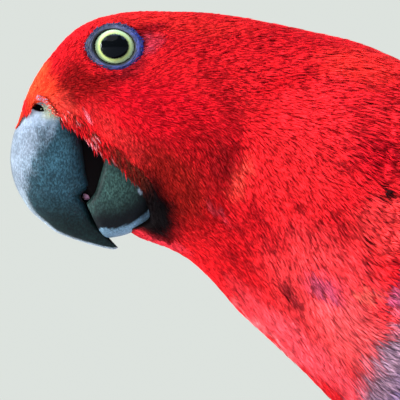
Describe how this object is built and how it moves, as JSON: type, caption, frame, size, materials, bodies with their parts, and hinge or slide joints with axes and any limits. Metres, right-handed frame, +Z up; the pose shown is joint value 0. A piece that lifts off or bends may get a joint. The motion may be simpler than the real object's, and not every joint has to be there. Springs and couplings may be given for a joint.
{
  "type": "female eclectus parrot, standing, still",
  "caption": "Life-size red and violet female eclectus parrot standing on both feet, wings folded, hooked dark bill, still museum model.",
  "frame": {"origin": "on the floor, under the middle of the bird's box", "axes": "+Z up, the bird faces -X, its left side faces -Y"},
  "size_m": [0.328, 0.0952, 0.181],
  "materials": {
    "red_feather": "soft bright red body feathers",
    "violet_feather": "soft blue-violet body feathers",
    "dark_red_feather": "deep maroon-red contour feathers",
    "wing_feather": "dark red coverts and secondaries, dark blue primaries",
    "tail_feather": "red tail feathers, orange-red towards the tips",
    "cere": "pale down over bare skin at the nostrils",
    "bill": "black horn with a soft sheen",
    "tongue": "dull pink, moist",
    "eye": "pale yellow-green iris and black pupil under a clear, wet cornea",
    "eye_ring": "ring of fine blue feathers round the lids",
    "leg_skin": "dark grey scaled skin",
    "claw": "black horn"
  },
  "bodies": {
    "root": {"head": "red_feather", "cere": "cere", "bill_upper": "bill", "bill_lower": "bill", "tongue": "tongue", "eye_left": "eye", "eye_right": "eye", "eye_ring_left": "eye_ring", "eye_ring_right": "eye_ring", "neck": "red_feather", "torso": "violet_feather", "rump": "dark_red_feather", "tail": "tail_feather", "wing_left": "wing_feather", "wing_right": "wing_feather", "thigh_left": "violet_feather", "thigh_right": "violet_feather", "shank_left": "leg_skin", "shank_right": "leg_skin", "foot_left": "leg_skin", "foot_right": "leg_skin", "claw_inner_front_left": "claw", "claw_inner_front_right": "claw", "claw_outer_front_left": "claw", "claw_outer_front_right": "claw", "claw_outer_back_left": "claw", "claw_outer_back_right": "claw", "claw_inner_back_left": "claw", "claw_inner_back_right": "claw"}
  },
  "joints": []
}
